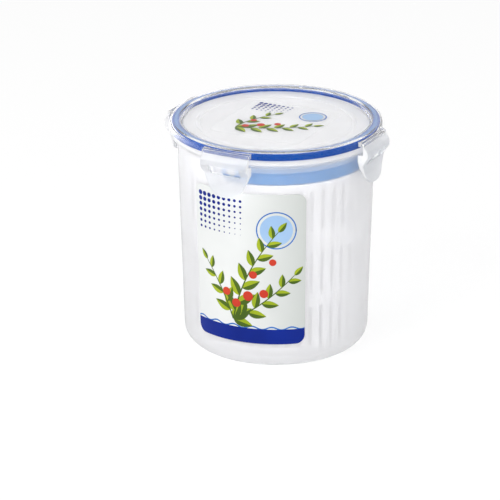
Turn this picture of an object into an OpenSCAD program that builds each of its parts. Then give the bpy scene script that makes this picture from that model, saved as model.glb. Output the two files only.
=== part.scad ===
// Round food storage container with a lift-out draining tray.
// A tapered clear tub is closed by a sealing lid with four hinged latches. A slotted tray with a
// swing handle stands inside it. Millimetres, +Z up, origin on the table under the tub's centre.
// The latches lie on the X and Y axes.

/* [Overall] */
// Height from the table to the top of the lid
overall_h = 132; // [112:1:170]
// Outside diameter of the lid, without its latches
lid_d = 119; // [104:1:140]

/* [Tub] */
// Thickness of the tub's wall
wall_t = 1.6; // [1.2:0.1:2.2]
// Draft of the tub's wall in degrees
draft_a = 1.6; // [0.4:0.1:2.4]
// Thickness of the tub's floor
floor_t = 2; // [1.4:0.1:3]
// Outside radius of the bottom corner
base_corner_r = 9; // [6:0.5:12]
// How far the foot ring's outside lies in from the bottom corner
foot_inset = 2; // [0.5:0.5:12]
// Width of the foot ring
foot_w = 3; // [2:0.5:6]
// Height of the foot ring
foot_h = 0.8; // [0.4:0.1:1.4]
// Thickness of the lip that the seal closes on
rim_t = 1.7; // [1.2:0.1:2.1]
// Height of the band round the mouth
rim_h = 5.8; // [5:0.1:6.6]
// How far that band steps out from the wall
rim_step = 1.4; // [0.8:0.1:2]

/* [Lid] */
// Thickness of the lid's outer skirt
skirt_t = 1.5; // [1.1:0.1:1.8]
// Height of the lid's outer skirt
skirt_h = 7.8; // [7:0.1:8.6]
// Thickness of the roof over the seal's channel
roof_t = 1.4; // [1:0.1:1.8]
// Thickness of the plug wall inside the mouth
plug_t = 1.4; // [1:0.1:1.8]
// Depth of the plug wall below the lid's top
plug_h = 6.5; // [5.5:0.1:7]
// Radius of the lid's rim at its outside
rim_round_out = 2.4; // [1.3:0.1:2.8]
// Radius of the lid's rim at its inside
rim_round_in = 1.9; // [0.6:0.1:2.2]
// Depth of the lid's panel below its rim
panel_drop = 2.9; // [2:0.1:3.6]
// Thickness of the lid's panel
panel_t = 1.5; // [1:0.1:1.8]
// How far the raised stacking ring lies in from the edge of the panel
stack_ring_inset = 8; // [5:0.5:14]
// Width of the stacking ring
stack_ring_w = 1.6; // [1:0.1:3]
// Height of the stacking ring
stack_ring_h = 0.6; // [0.3:0.1:1]

/* [Seal] */
// Width of the seal's channel in the lid
channel_w = 4.2; // [3.8:0.1:5]
// Thickness of the seal over the tub's lip
seal_t = 3; // [2.4:0.1:3.4]
// Depth of the groove that takes the lip
seal_groove = 1.4; // [0.8:0.1:1.8]
// Gap between the seal and the lip
seal_gap = 0.3; // [0.2:0.05:0.5]

/* [Latches] */
// Width of a latch
latch_w = 28.6; // [26:0.2:34]
// Length of a latch below its hinge
latch_l = 25.2; // [23:0.2:30]
// Thickness of a latch's shell
latch_t = 1.5; // [1.1:0.1:1.8]
// Width of the flat at the end of a latch's tongue, before its corners are rounded
tongue_w = 16; // [12:0.5:20]
// How far a latch's shoulder stands out from its hinge
shoulder_out = 2.5; // [2.2:0.1:3]
// How far a latch's plate is drawn in behind its hinge
plate_in = 0.8; // [0.5:0.1:1.1]
// How far the flanges along a latch's edges reach in behind its plate
flange_in = 1.9; // [1:0.1:2.2]
// How far the end of a latch's tongue flares out from its plate
tongue_flare = 1.2; // [0.5:0.1:1.4]
// Radius of the bead that a latch turns on
hinge_r = 0.9; // [0.7:0.05:1]
// How far the hinge lies outside the lid's skirt
hinge_out = 1; // [0.9:0.05:1.3]
// How far the hinge lies below the lid's top
hinge_drop = 2.6; // [2.4:0.1:3]
// Width of a latch's catch slot
slot_w = 18.4; // [14:0.2:22]
// Height of a latch's catch slot
slot_h = 5.3; // [4.6:0.1:5.6]
// Depth of the slot's middle below the hinge
slot_drop = 10; // [9.6:0.05:10.4]
// How far a lug reaches into its shut latch
catch_depth = 0.55; // [0.4:0.05:0.6]
// Angle from the snapped position at which a latch hangs clear of its lug
rest_a = 3.6; // [3.4:0.1:6]

/* [Tray] */
// Thickness of the tray's wall
tray_t = 1.4; // [1.1:0.1:1.8]
// Thickness of the tray's floor
tray_floor_t = 1.6; // [1.2:0.1:2.4]
// Radius of the tray's bottom corner
tray_corner_r = 6; // [4:0.5:8]
// Height of the tray's feet
tray_foot_h = 5; // [4.6:0.2:8]
// Diameter of the tray's feet
tray_foot_d = 6; // [4:0.5:8]
// How far the tray's feet lie in from its bottom corner
tray_foot_inset = 4; // [1:0.5:10]
// Gap between the tray and the tub's wall
tray_gap = 0.6; // [0.4:0.1:1]
// Number of drain slots round the tray
drain_count = 48; // [24:4:56]
// Width of a drain slot
drain_w = 2.2; // [1.4:0.1:2.8]
// Height of the plain wall under the lowest drain slots, above the tray's floor
drain_base = 3.6; // [2:0.2:6]
// Height of the plain band between the lower and middle slots
lower_band_h = 8; // [5:0.5:12]
// Height of the plain band between the middle and upper slots
upper_band_h = 13; // [6:0.5:14]
// Height of the plain wall between the upper slots and the tray's shoulder
drain_top = 4.6; // [3:0.2:10]
// Width of the plain ring between the two rings of slots in the tray's floor
floor_web = 4; // [2.5:0.5:8]

/* [Handle] */
// Height of the folded handle's band
handle_h = 12; // [9:0.5:13]
// Thickness of the handle's band
handle_t = 1.5; // [1.2:0.1:2]
// Depth of the folded handle's top below the lid's top
handle_drop = 9; // [8.6:0.1:11]
// Radius of the pins that the handle turns on
pivot_r = 2.6; // [1.8:0.1:3.2]
// Radial clearance of those pins
pivot_clear = 0.08; // [0.03:0.01:0.1]

/* [Labels] */
// Thickness of the label films
label_t = 0.15; // [0.1:0.05:0.3]
// Width of the tub's label round the wall, in degrees
tub_label_a = 71; // [40:1:80]
// Direction of that label's middle from the front latch, in degrees
tub_label_at = 9; // [-20:1:30]
// Depth of that label's upper edge below the lid's top
tub_label_drop = 26; // [24:0.5:50]
// Height of that label's lower edge above the table
tub_label_z = 16.5; // [13:0.5:40]
// Corner radius of the labels
label_corner_r = 5; // [2:0.5:8]
// Width of the lid's label
lid_label_w = 56; // [30:1:60]
// Gap between the corners of the lid's label and the stacking ring
lid_label_gap = 1.5; // [0.5:0.5:6]

/* [Hidden] */
$fn = 128;

// Clearances
seat_gap = 0.1;
film_gap = 0.03;
swing_gap = 0.3;
overlap = 0.3;

// Radii of the tub's mouth and of the lid's channel, worked inwards from the lid's outside
lid_r = lid_d / 2;
channel_r = lid_r - skirt_t;
plug_r = channel_r - channel_w;
rim_r = channel_r - (channel_w - rim_t) / 2;
mouth_r = rim_r - rim_t;

// Levels, worked down from the lid's top
roof_z = overall_h - roof_t;
rim_top_z = roof_z - seat_gap - seal_t - seal_gap;
rim_z = rim_top_z - rim_h;
skirt_z = overall_h - skirt_h;
panel_z = overall_h - panel_drop;
floor_z = foot_h + floor_t;

// The tub's wall
wall_r = rim_r - rim_step;
function outer_r(z) = wall_r - (rim_z - z) * tan(draft_a);
function inner_r(z) = outer_r(z) - wall_t / cos(draft_a);

// Rounding inside the seal's channel, which follows the lid's rim
channel_round_out = max(0.4, rim_round_out - skirt_t - 0.3);
channel_round_in = max(0.4, rim_round_in - plug_t - 0.1);

// The lid's panel and its stacking ring
plug_inner_r = plug_r - plug_t;
ring_out = plug_inner_r - stack_ring_inset;
ring_in = ring_out - stack_ring_w;

// The hinge and the catch
hinge_x = lid_r + hinge_out;
hinge_z = overall_h - hinge_drop;
latch_inside = -0.35;
slot_top = -slot_drop + slot_h / 2;
slot_foot = -slot_drop - slot_h / 2;
lug_x = hinge_x - plate_in - latch_t + catch_depth;
lug_side_gap = 0.7;
lug_foot_gap = 0.4;
lug_top_gap = 0.9;
latch_turns = [["front", -90], ["right", 0], ["back", 90], ["left", 180]];

// The handle and the tray's collar inside it
handle_top_z = overall_h - handle_drop;
handle_z = handle_top_z - handle_h;
pivot_z = handle_z + handle_h / 2;
shoulder_z = handle_z - swing_gap;
handle_r = inner_r(handle_z) - 1.5 * swing_gap;
collar_r = handle_r - handle_t - 2 * swing_gap;
collar_top_z = handle_top_z - swing_gap;

// The tray's floor, feet and slots
tray_floor_z = floor_z + seat_gap + tray_foot_h;
tray_foot_at = tray_r(tray_floor_z) - tray_corner_r - tray_foot_inset - tray_foot_d / 2;
drain_z = tray_floor_z + tray_floor_t + drain_base;
drain_h = (shoulder_z - drain_top - drain_z - lower_band_h - upper_band_h) / 3;
function tray_r(z) = inner_r(z) - tray_gap;

// A corner of a profile, rounded to radius r by points every few degrees
arc_step = 9;
function unit(v) = v / norm(v);
function corner(a, b, c, r) =
    r <= 0 ? [b] :
    let (
        u = unit(a - b),
        v = unit(c - b),
        half = acos(u * v) / 2,
        middle = b + unit(u + v) * r / sin(half),
        from = b + u * r / tan(half) - middle,
        to = b + v * r / tan(half) - middle,
        start = atan2(from.y, from.x),
        sweep = (atan2(to.y, to.x) - start + 540) % 360 - 180,
        steps = max(2, ceil(abs(sweep) / arc_step))
    )
    [for (i = [0:steps]) middle + r * [cos(start + sweep * i / steps), sin(start + sweep * i / steps)]];
function at(points, i) = [points[i % len(points)].x, points[i % len(points)].y];
function rounded(points) =
    let (n = len(points))
    [for (i = [0:n - 1])
        each corner(at(points, i + n - 1), at(points, i), at(points, i + 1), points[i][2])];

// Turns a profile of radius and height into a ring
module turned(points) {
    rotate_extrude()
        polygon(rounded(points));
}

// Pushes a side profile, drawn outwards and upwards from a latch's hinge, along the hinge
module along_hinge(width) {
    rotate([90, 0, 0])
        translate([0, 0, -width / 2])
            linear_extrude(width)
                children();
}

// Places something drawn at the right-hand hinge at another side of the lid
module at_side(turn) {
    rotate([0, 0, turn])
        translate([hinge_x, 0, hinge_z])
            children();
}

// The tub: one lathe-like shell with a foot ring, a banded mouth and four catch lugs
module container() {
    color("white", 0.4)
    union() {
        tub_shell();
        for (side = latch_turns)
            at_side(side[1])
                catch_lug();
    }
}

module tub_shell() {
    foot_r = outer_r(foot_h) - base_corner_r - foot_inset;
    foot_slope = 0.4;
    inner_corner_r = base_corner_r - wall_t;
    lip_round = rim_t / 2 - 0.01;
    step_h = rim_step;
    turned([
        [0, foot_h, 0],
        [foot_r - foot_w, foot_h, 0],
        [foot_r - foot_w + foot_slope, 0, 0],
        [foot_r - foot_slope, 0, 0],
        [foot_r, foot_h, 0],
        [outer_r(foot_h), foot_h, base_corner_r],
        [outer_r(rim_z), rim_z, 0.6],
        [rim_r, rim_z + step_h * 0.4, 0.3],
        [rim_r, rim_top_z, lip_round],
        [mouth_r, rim_top_z, lip_round],
        [mouth_r, rim_z + step_h, 1],
        [inner_r(rim_z - step_h * 0.6), rim_z - step_h * 0.6, 1],
        [inner_r(floor_z), floor_z, inner_corner_r],
        [0, floor_z, 0]
    ]);
}

// A lug on the wall that a latch's slot snaps over, drawn from that latch's hinge
module catch_lug() {
    lug_w = slot_w - 2 * lug_side_gap;
    root = outer_r(hinge_z + slot_foot) - wall_t * 0.65 - hinge_x;
    tip = lug_x - hinge_x;
    top = slot_top - lug_top_gap;
    foot = slot_foot + lug_foot_gap;
    along_hinge(lug_w)
        polygon(rounded([
            [root, foot - 0.6, 0],
            [tip, foot, 0.5],
            [tip, top - 0.9, 0.7],
            [root, top, 0]
        ]));
}

// The lid: a recessed panel, a channel for the seal round it and a straight land at each hinge
module lid() {
    color("white", 0.4)
    union() {
        lid_shell();
        for (side = latch_turns)
            hinge_land(side[1]);
    }
}

module lid_shell() {
    turned([
        [0, panel_z, 0],
        [ring_in - stack_ring_h, panel_z, 0],
        [ring_in, panel_z + stack_ring_h, 0.3],
        [ring_out, panel_z + stack_ring_h, 0.3],
        [ring_out + stack_ring_h, panel_z, 0],
        [plug_inner_r, panel_z, 1],
        [plug_inner_r, overall_h, rim_round_in],
        [lid_r, overall_h, rim_round_out],
        [lid_r, skirt_z, 0.5],
        [channel_r, skirt_z, 0.4],
        [channel_r, roof_z, channel_round_out],
        [plug_r, roof_z, channel_round_in],
        [plug_r, overall_h - plug_h, 0.6],
        [plug_inner_r, overall_h - plug_h, 0.5],
        [plug_inner_r, panel_z - panel_t, 0.6],
        [0, panel_z - panel_t, 0]
    ]);
}

// The land that carries a hinge bead: a straight block on the round skirt, hollowed to the bead
module hinge_land(turn) {
    face = -hinge_r * 0.55;
    foot = -hinge_r - 0.3;
    top = hinge_r + 0.3;
    root = lid_r * cos(asin(latch_w / 2 / lid_r)) - 1 - hinge_x;
    difference() {
        at_side(turn)
            along_hinge(latch_w)
                polygon(rounded([
                    [root, foot, 0],
                    [face, foot, 0],
                    [face, top, 0.4],
                    [root, top + 0.2, 0]
                ]));
        cylinder(r = channel_r + overlap, h = overall_h + 1);
        at_side(turn)
            rotate([90, 0, 0])
                cylinder(r = hinge_r + pivot_clear, h = latch_w + 2, center = true);
    }
}

// The seal: a soft ring in the lid's channel, grooved for the tub's lip
module lid_seal() {
    out_r = channel_r - seat_gap;
    in_r = plug_r + seat_gap;
    top_z = roof_z - seat_gap;
    groove_z = top_z - seal_t;
    foot_z = groove_z - seal_groove;
    color("royalblue")
    turned([
        [in_r, foot_z, 0.3],
        [mouth_r - seal_gap, foot_z, 0.2],
        [mouth_r - seal_gap, groove_z, 0.5],
        [rim_r + seal_gap, groove_z, 0.5],
        [rim_r + seal_gap, foot_z, 0.2],
        [out_r, foot_z, 0.3],
        [out_r, top_z, channel_round_out + seat_gap],
        [in_r, top_z, channel_round_in + seat_gap]
    ]);
}

// A latch as it hangs at rest, just off its lug
module latch(turn) {
    color("white", 0.4)
    at_side(turn)
        rotate([0, -rest_a, 0])
            snapped_latch();
}

module snapped_latch() {
    difference() {
        union() {
            intersection() {
                along_hinge(latch_w)
                    polygon(latch_profile());
                latch_outline();
            }
            latch_flanges();
            rotate([90, 0, 0])
                cylinder(r = hinge_r, h = latch_w, center = true);
        }
        along_hinge(latch_w - 2 * side_wall)
            polygon(latch_hollow());
        translate([plate_x - latch_t - 1, -slot_w / 2, slot_foot])
            cube([shoulder_out + plate_in + latch_t + 2, slot_w, slot_h]);
    }
}

// Section through a latch: root, slanted shoulder, plate drawn in under the lid's skirt and flared tongue
side_wall = 1.6;
neck_out = hinge_r * 0.6;
skirt_foot = skirt_z - hinge_z;
plate_x = -plate_in;
plate_z = slot_foot + 0.4;
tongue_x = plate_x - 0.4;
tongue_z = -latch_l * 0.74;
tongue_tip = tongue_x + tongue_flare;
function latch_profile() = rounded([
    [-0.2, 0, 0],
    [neck_out, 0, 0],
    [neck_out, -1.1, 0.8],
    [shoulder_out, -4.4, 1.8],
    [shoulder_out, slot_top - 0.5, 1.4],
    [plate_x, plate_z, 2],
    [tongue_x, tongue_z, 6],
    [tongue_tip, -latch_l, 0.7],
    [tongue_tip - latch_t, -latch_l, 0.6],
    [tongue_x - latch_t, tongue_z - 0.2, 6],
    [plate_x - latch_t, skirt_foot - 4.4, 1],
    [latch_inside, skirt_foot - 1, 0.5],
    [latch_inside, -1.4, 0],
    [-0.2, -1.2, 0]
]);

// The space behind a latch's shoulder and beside its slot
function latch_hollow() =
    let (
        run = unit([plate_x - shoulder_out, plate_z - slot_top + 0.5]),
        in = latch_t * [run.y, -run.x],
        upper = [shoulder_out, slot_top - 0.5] + in,
        lower = [plate_x, plate_z] + in
    )
    rounded([
        [latch_inside - 3, -3.2, 0],
        [-0.1, -3.2, 0.3],
        [shoulder_out - latch_t, -5, 1],
        [upper.x - 0.2, upper.y, 0.6],
        [lower.x, lower.y, 0.2],
        [latch_inside - 3, lower.y, 0]
    ]);

// The flanges that stiffen a latch, turned in along both edges of its outline
module latch_flanges() {
    deep = plate_x - latch_t - flange_in;
    difference() {
        intersection() {
            along_hinge(latch_w)
                polygon(rounded([
                    [0.4, skirt_foot - 0.6, 0],
                    [deep + 0.4, skirt_foot - 1.2, 0.8],
                    [deep, plate_z - 1, 3],
                    [plate_x - latch_t + 0.3, tongue_z, 0],
                    [plate_x - 0.4, tongue_z, 0],
                    [plate_x - 0.4, plate_z, 0]
                ]));
            latch_outline();
        }
        intersection() {
            translate([0, side_wall, 0])
                latch_outline();
            translate([0, -side_wall, 0])
                latch_outline();
        }
    }
}

// A latch's outline seen from outside: straight sides, then a rounded tongue
module latch_outline() {
    half = latch_w / 2;
    tip = tongue_w / 2;
    taper_z = -slot_drop - 0.75;
    lean = atan2(latch_l + taper_z, half - tip);
    tip_r = 0.97 * tip * tan((180 - lean) / 2);
    rotate([90, 0, 90])
        translate([0, 0, tongue_x - latch_t - 1])
            linear_extrude(shoulder_out - tongue_x + latch_t + 3)
                polygon(rounded([
                    [-half, hinge_r + 1, 0],
                    [-half, taper_z, 3],
                    [-tip, -latch_l, tip_r],
                    [tip, -latch_l, tip_r],
                    [half, taper_z, 3],
                    [half, hinge_r + 1, 0]
                ]));
}

// The tray: a slotted basket on four feet, drawn in at the top to make room for its handle
module tray() {
    color("whitesmoke", 0.8)
    union() {
        difference() {
            tray_shell();
            drain_slots();
            floor_slots();
        }
        for (i = [0:3])
            rotate([0, 0, 45 + 90 * i])
                translate([tray_foot_at, 0, floor_z + seat_gap])
                    cylinder(d = tray_foot_d, h = tray_foot_h + tray_floor_t / 2);
        for (side = [-1, 1])
            rotate([-90 * side, 0, 0])
                translate([0, -side * pivot_z, collar_r - tray_t / 2])
                    cylinder(r = pivot_r, h = handle_r - collar_r + tray_t / 2);
    }
}

module tray_shell() {
    wall_top = shoulder_z - tray_t;
    turned([
        [0, tray_floor_z, 0],
        [tray_r(tray_floor_z), tray_floor_z, tray_corner_r],
        [tray_r(shoulder_z), shoulder_z, 0.5],
        [collar_r, shoulder_z, 0.4],
        [collar_r, collar_top_z, 0.6],
        [collar_r - tray_t, collar_top_z, 0.6],
        [collar_r - tray_t, wall_top, 1],
        [tray_r(wall_top) - tray_t, wall_top - (tray_r(wall_top) - collar_r), 1],
        [tray_r(tray_floor_z) - tray_t, tray_floor_z + tray_floor_t, tray_corner_r - tray_t],
        [0, tray_floor_z + tray_floor_t, 0]
    ]);
}

// Three tiers of upright slots through the tray's wall
module drain_slots() {
    middle = drain_z + drain_h + lower_band_h;
    upper = middle + drain_h + upper_band_h;
    reach = 4;
    for (z = [drain_z, middle, upper], i = [0:drain_count - 1])
        rotate([0, 0, 360 * (i + 0.5) / drain_count])
            translate([tray_r(z) - tray_t - reach / 2, -drain_w / 2, z])
                cube([tray_t + reach, drain_w, drain_h]);
}

// Two rings of spokes through the tray's floor, between its middle and its feet
module floor_slots() {
    outer = tray_foot_at - tray_foot_d / 2 - 1;
    inner = drain_count / 4 * drain_w / PI + 2;
    middle = (outer + inner) / 2;
    rings = [[inner, middle - floor_web / 2, drain_count / 4], [middle + floor_web / 2, outer, drain_count / 2]];
    for (ring = rings, i = [0:ring[2] - 1])
        rotate([0, 0, 360 * (i + 0.5) / ring[2]])
            translate([ring[0], -drain_w / 2, tray_floor_z - 1])
                cube([ring[1] - ring[0], drain_w, tray_floor_t + 2]);
}

// The handle: half a hoop folded against the collar, with a round eye at each end
module tray_handle() {
    color("lightskyblue")
    difference() {
        intersection() {
            turned([
                [handle_r - handle_t, handle_z, 0.5],
                [handle_r, handle_z, 0.5],
                [handle_r, handle_top_z, 0.5],
                [handle_r - handle_t, handle_top_z, 0.5]
            ]);
            union() {
                translate([0, -lid_r, handle_z - 1])
                    cube([lid_r, lid_d, handle_h + 2]);
                pivot_bar(handle_h / 2);
            }
        }
        pivot_bar(pivot_r + pivot_clear);
    }
}

// A bar right through both of the handle's eyes
module pivot_bar(r) {
    translate([0, 0, pivot_z])
        rotate([90, 0, 0])
            cylinder(r = r, h = lid_d, center = true);
}

// The tub's label: a film curved round the front of the wall, its corners rounded
module container_label() {
    top = overall_h - tub_label_drop;
    skin = film_gap + label_t;
    half = outer_r((tub_label_z + top) / 2) * sin(tub_label_a / 2);
    color("white")
    rotate([0, 0, tub_label_at - 90])
        intersection() {
            turned([
                [outer_r(tub_label_z - 1) + film_gap, tub_label_z - 1, 0],
                [outer_r(tub_label_z - 1) + skin, tub_label_z - 1, 0],
                [outer_r(top + 1) + skin, top + 1, 0],
                [outer_r(top + 1) + film_gap, top + 1, 0]
            ]);
            rotate([90, 0, 90])
                linear_extrude(lid_d)
                    polygon(rounded([
                        [-half, tub_label_z, label_corner_r],
                        [half, tub_label_z, label_corner_r],
                        [half, top, label_corner_r],
                        [-half, top, label_corner_r]
                    ]));
        }
}

// The lid's label: a flat film on the panel, inside the stacking ring
module lid_label() {
    half_w = lid_label_w / 2;
    half_l = sqrt(pow(ring_in - stack_ring_h - lid_label_gap, 2) - pow(half_w, 2));
    color("white")
    translate([0, 0, panel_z + film_gap])
        linear_extrude(label_t)
            polygon(rounded([
                [-half_w, -half_l, label_corner_r],
                [half_w, -half_l, label_corner_r],
                [half_w, half_l, label_corner_r],
                [-half_w, half_l, label_corner_r]
            ]));
}

container();
container_label();
lid();
lid_label();
lid_seal();
latch(latch_turns[0][1]);  // latch_front
latch(latch_turns[1][1]);  // latch_right
latch(latch_turns[2][1]);  // latch_back
latch(latch_turns[3][1]);  // latch_left
tray();
tray_handle();
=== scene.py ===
# %% [markdown]
# # Round food container with a draining tray
#
# The object is a clear, tapered kitchen tub. A lid with a soft seal and four snap latches closes it, and
# a slotted tray with a swing handle stands inside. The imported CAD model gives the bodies, joints and
# sizes. This notebook builds finer pieces on that frame: first the finishes, then the tub and what
# stands in it, the lid and what hangs on it, the labels, and last the light and the camera.

# %% Load the frame
import math

import bmesh
import bpy
from mathutils import Matrix, Vector


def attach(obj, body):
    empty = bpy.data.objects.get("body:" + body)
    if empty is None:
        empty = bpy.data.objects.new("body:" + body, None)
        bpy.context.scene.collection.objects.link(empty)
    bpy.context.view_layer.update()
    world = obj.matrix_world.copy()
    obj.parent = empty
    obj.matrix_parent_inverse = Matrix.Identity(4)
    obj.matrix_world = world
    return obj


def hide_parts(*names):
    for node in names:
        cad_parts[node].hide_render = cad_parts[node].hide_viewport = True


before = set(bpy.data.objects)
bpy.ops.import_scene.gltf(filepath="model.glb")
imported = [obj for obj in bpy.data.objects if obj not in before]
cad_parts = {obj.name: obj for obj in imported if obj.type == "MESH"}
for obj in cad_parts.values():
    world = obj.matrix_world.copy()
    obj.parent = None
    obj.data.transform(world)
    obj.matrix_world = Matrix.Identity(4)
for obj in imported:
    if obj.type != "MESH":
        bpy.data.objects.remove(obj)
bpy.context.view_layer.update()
scene = bpy.context.scene
scene.view_settings.view_transform = "Standard"
MM = 0.001

# %% [markdown]
# ## Node trees
#
# Finishes and shapes are both made by node trees here: shader nodes for how a surface looks, Geometry
# Nodes for what repeats or follows a rule. Adding nodes and links one call at a time is long-winded, so a
# few small helpers do it. Each input of a node is given a value, or the socket of another node to link.

# %% Helpers for nodes
def add_node(tree, kind, inputs=None, **options):
    """A new node with its options set, and each input set to a value or linked to a socket."""
    made = tree.nodes.new(kind)
    for option, value in options.items():
        setattr(made, option, value)
    for place, value in (inputs or {}).items():
        if isinstance(value, bpy.types.NodeSocket):
            tree.links.new(value, made.inputs[place])
        else:
            made.inputs[place].default_value = value
    return made


def calculate(tree, operation, *values):
    return add_node(tree, "ShaderNodeMath", dict(enumerate(values)), operation=operation).outputs[0]


def map_range(tree, value, start, end, low, high, ease="LINEAR"):
    """Low up to where the value is start, high from where it is end, and a ramp between."""
    limits = {"From Min": start, "From Max": end, "To Min": low, "To Max": high}
    span = add_node(tree, "ShaderNodeMapRange", {"Value": value, **limits}, interpolation_type=ease)
    return span.outputs["Result"]


def mixed(tree, share, first, second):
    """The first colour where share is 0, the second where it is 1."""
    return add_node(tree, "ShaderNodeMix", {0: share, 6: first, 7: second}, data_type="RGBA").outputs[2]


def parts_of(tree, vector):
    return add_node(tree, "ShaderNodeSeparateXYZ", {0: vector}).outputs


def place_on_piece(tree):
    return add_node(tree, "ShaderNodeTexCoord").outputs["Object"]


# %% [markdown]
# ## Finishes
#
# Nearly everything here is moulded polypropylene. It is never one flat colour: the melt leaves faint
# clouds, and the mould's surface leaves a fine texture that breaks up the gloss. One helper gives every
# plastic those two noises on Object coordinates, one wide for colour and one fine for roughness and
# relief.

# %% Helpers for finishes
CLOUD_MM = 22.0
RELIEF_MM = 0.05
NOISE_SPAN = (0.3, 0.7)


def srgb(red, green, blue):
    """A colour given on a 0 to 255 scale, as the linear values that shaders use."""
    linear = []
    for part in (red, green, blue):
        share = part / 255
        linear.append(share / 12.92 if share < 0.04045 else ((share + 0.055) / 1.055) ** 2.4)
    return (*linear, 1.0)


def noise(tree, grain_mm):
    grain = {"Vector": place_on_piece(tree), "Scale": 1 / (grain_mm * MM)}
    return add_node(tree, "ShaderNodeTexNoise", grain).outputs["Fac"]


def moulded(name, colour, clouded, rough, grain_mm=0.7, relief=0.15):
    """A plastic whose colour drifts softly and whose gloss is broken by the mould's texture."""
    finish = bpy.data.materials.new(name)
    finish.use_nodes = True
    tree = finish.node_tree
    surface = tree.nodes["Principled BSDF"]
    drift = map_range(tree, noise(tree, CLOUD_MM), *NOISE_SPAN, 0.0, 1.0)
    fine = noise(tree, grain_mm)
    texture = {"Strength": relief, "Distance": RELIEF_MM * MM, "Height": fine}
    bump = add_node(tree, "ShaderNodeBump", texture)
    tree.links.new(mixed(tree, drift, colour, clouded), surface.inputs["Base Color"])
    tree.links.new(map_range(tree, fine, *NOISE_SPAN, *rough), surface.inputs["Roughness"])
    tree.links.new(bump.outputs["Normal"], surface.inputs["Normal"])
    return finish, surface


def lets_lamps_through(finish, surface, colour):
    """Lamps shine through a thin clear wall, and lose the share that its colour leaves out."""
    tree = finish.node_tree
    to_lamp = add_node(tree, "ShaderNodeLightPath").outputs["Is Shadow Ray"]
    clear = add_node(tree, "ShaderNodeBsdfTransparent", {"Color": colour}).outputs[0]
    mix = add_node(tree, "ShaderNodeMixShader", {0: to_lamp, 1: surface.outputs[0], 2: clear})
    tree.links.new(mix.outputs[0], tree.nodes["Material Output"].inputs["Surface"])


# %% [markdown]
# The tub is the milky kind of clear plastic: things inside show as soft shapes. Its wall isn't clear to
# the same degree all the way up. Above the body comes a clearer neck, where the handle shows, then a hazy
# zone, and last a milky band at the mouth, with the lugs. The lid's rim is the glassy kind, its panel is
# frosted, and the latches lie between the two, with softer beads and milky side flanges. Each is a
# Principled surface that transmits part of its light and keeps the rest as a white body colour. The more
# it transmits, the clearer the plastic. Light that crosses a wall is coloured at both faces, so the body
# colours stay close to white.

# %% Clear plastics
milk = srgb(249, 249, 250)
mist = srgb(246, 246, 247)
glass = srgb(254, 254, 254)
thin_shade = srgb(250, 250, 251)


def clear_plastic(name, clear, rough, bend, colours=(milk, mist), relief=0.03, mirror=1.0):
    """A see-through plastic: clear is the share of light let through, bend its refractive index."""
    finish, surface = moulded(name, *colours, rough, relief=relief)
    surface.inputs["Transmission Weight"].default_value = clear
    surface.inputs["IOR"].default_value = bend
    surface.inputs["Specular Tint"].default_value = (mirror, mirror, mirror, 1)
    lets_lamps_through(finish, surface, thin_shade)
    return finish


def tub_zone(name, clear, rough=(0.3, 0.38)):
    return clear_plastic(name, clear, rough, 1.25, mirror=0.5)


tub_plastic = tub_zone("frosted_tub_plastic", 0.7)
neck_plastic = tub_zone("clearer_neck_plastic", 0.87)
haze_plastic = tub_zone("hazy_mouth_plastic", 0.66)
band_plastic = tub_zone("milky_band_plastic", 0.5, rough=(0.32, 0.4))

bead_clear = (glass, srgb(252, 252, 252))
panel_white = (srgb(248, 248, 249), srgb(244, 244, 245))
latch_white = (srgb(239, 240, 242), srgb(233, 235, 238))
rim_plastic = clear_plastic("clear_rim_plastic", 1.0, (0.04, 0.08), 1.42, (glass, milk), 0.02, 0.35)
bead_plastic = clear_plastic("soft_bead_plastic", 0.9, (0.16, 0.22), 1.35, bead_clear, 0.02, 0.3)
panel_plastic = clear_plastic("frosted_panel_plastic", 0.45, (0.4, 0.5), 1.3, panel_white)
latch_plastic = clear_plastic("latch_plastic", 0.65, (0.29, 0.36), 1.35, latch_white)
flange_plastic = clear_plastic("milky_flange_plastic", 0.2, (0.32, 0.4), 1.3)
print("tub finishes:", tub_plastic.name, neck_plastic.name, haze_plastic.name, band_plastic.name)
print("lid finishes:", rim_plastic.name, bead_plastic.name, panel_plastic.name, latch_plastic.name)

# %% [markdown]
# The tray is milk white, and thin enough for light to glow through, so it is lit from inside as well. The
# handle is sky blue, and the seal a deep blue silicone. Silicone has hardly any mirror to it, so its
# specular level is low, or the white room would wash its colour out. Through the lid's domed rim the
# seal's crown shows a highlight. That highlight is painted into the seal's colour as a paler blue, mixed
# in by the distance from the middle of the ring.

# %% Milky plastics and the seal
CROWN_R = 55.9
CROWN_REACH = 1.5


def blend_body(tree, surface, share, colour):
    """Mix the body colour towards another one, by the share that a node gives."""
    body = surface.inputs["Base Color"]
    tree.links.new(mixed(tree, share, body.links[0].from_socket, colour), body)


def painted_highlight_crown(finish, surface, pale):
    """Paint a highlight along the middle of a ring, and leave the colour as it is towards its edges."""
    tree = finish.node_tree
    level = {0: place_on_piece(tree), 1: (1, 1, 0)}
    level = add_node(tree, "ShaderNodeVectorMath", level, operation="MULTIPLY").outputs[0]
    radius = add_node(tree, "ShaderNodeVectorMath", {0: level}, operation="LENGTH").outputs["Value"]
    away = calculate(tree, "ABSOLUTE", calculate(tree, "SUBTRACT", radius, CROWN_R * MM))
    crown = map_range(tree, away, 0.0, CROWN_REACH * MM, 1.0, 0.0, "SMOOTHSTEP")
    blend_body(tree, surface, crown, pale)


tray_plastic, surface = moulded(
    "milk_white_tray_plastic", srgb(241, 241, 242), srgb(236, 236, 237), (0.34, 0.46))
surface.inputs["Subsurface Weight"].default_value = 0.15
surface.inputs["Subsurface Radius"].default_value = (0.8 * MM, 0.8 * MM, 0.9 * MM)
lets_lamps_through(tray_plastic, surface, srgb(243, 243, 244))

handle_plastic, surface = moulded(
    "sky_blue_handle_plastic", srgb(18, 133, 202), srgb(12, 125, 195), (0.3, 0.42))
surface.inputs["Specular IOR Level"].default_value = 0.3

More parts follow.
